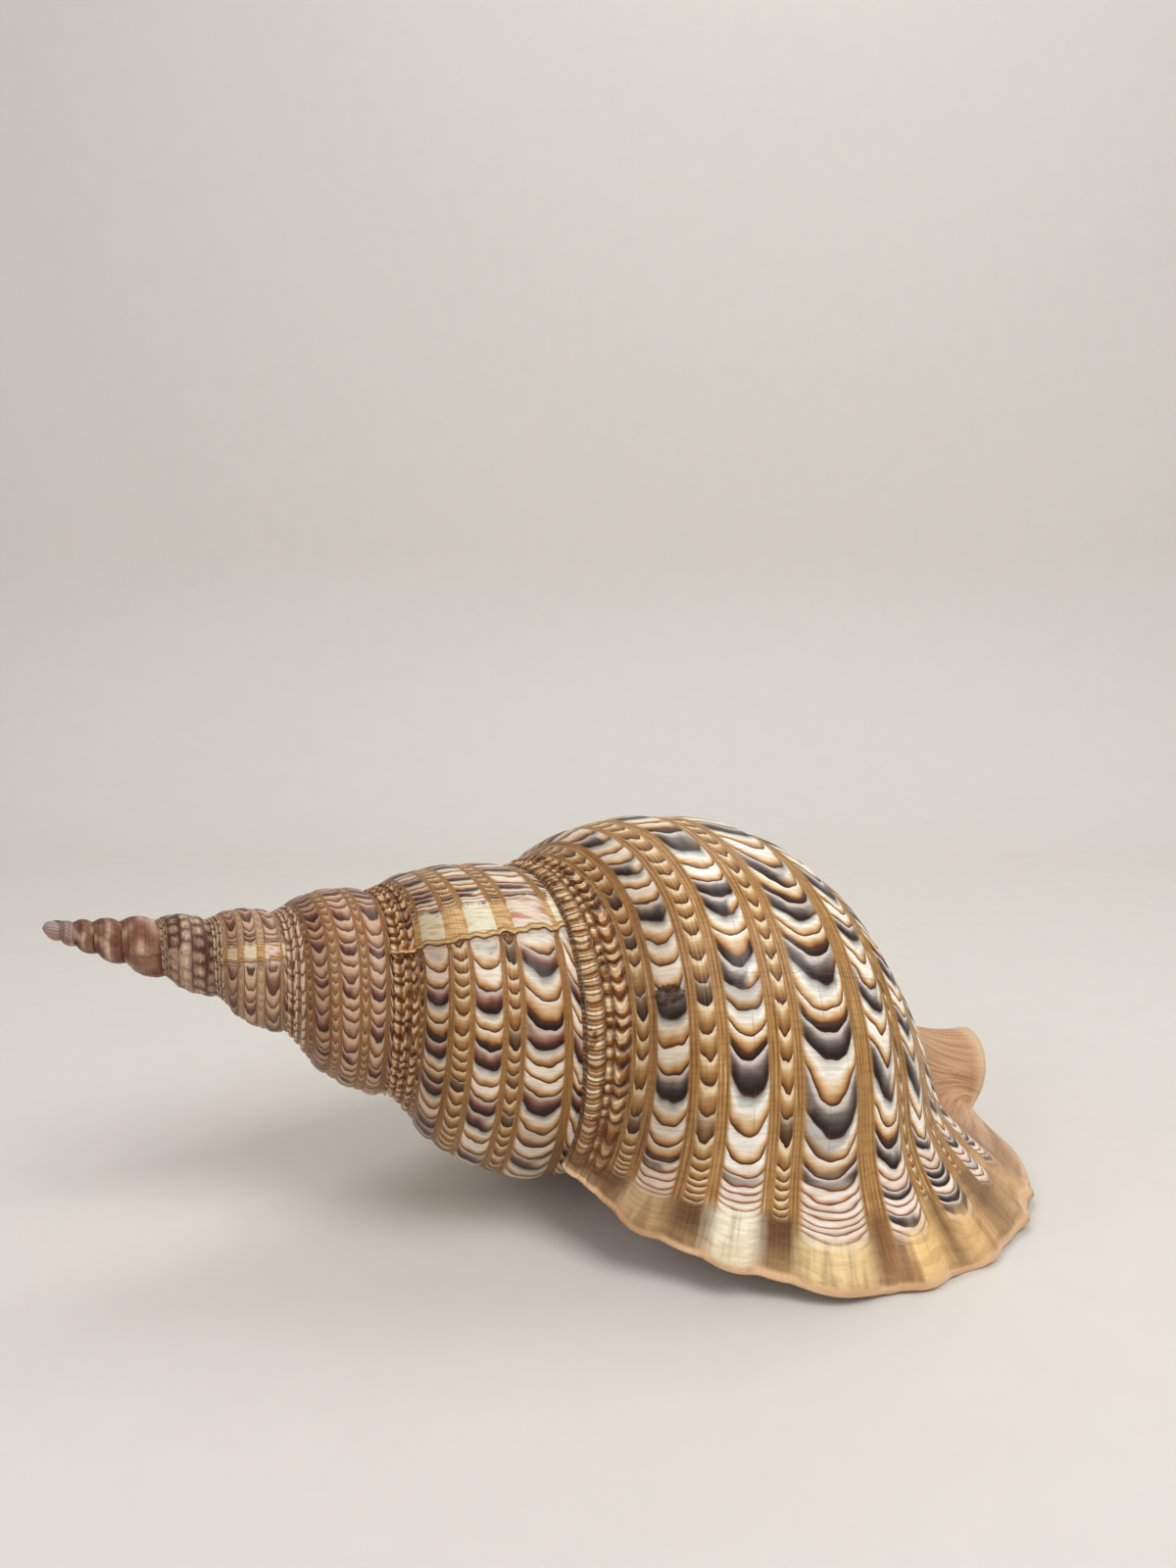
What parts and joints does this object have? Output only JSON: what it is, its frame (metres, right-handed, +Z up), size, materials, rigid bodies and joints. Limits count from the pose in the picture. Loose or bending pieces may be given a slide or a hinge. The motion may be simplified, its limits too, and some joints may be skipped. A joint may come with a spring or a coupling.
{
  "type": "triton shell",
  "caption": "Large spired sea snail shell resting on its open mouth, hollow, with a flared outer lip and a short open canal",
  "frame": {"origin": "centre of the bounding box's underside, on the surface that the shell rests on", "axes": "+Z up; +X along the shell from the apex to the canal, level; -Y towards the side that the flared outer lip faces"},
  "size_m": [0.4262, 0.2184, 0.1621],
  "materials": {
    "shell": "semi-glossy natural shell with spiral cords and brown, cream and dark crescent markings"
  },
  "bodies": {
    "root": {"shell": "shell"}
  },
  "joints": []
}
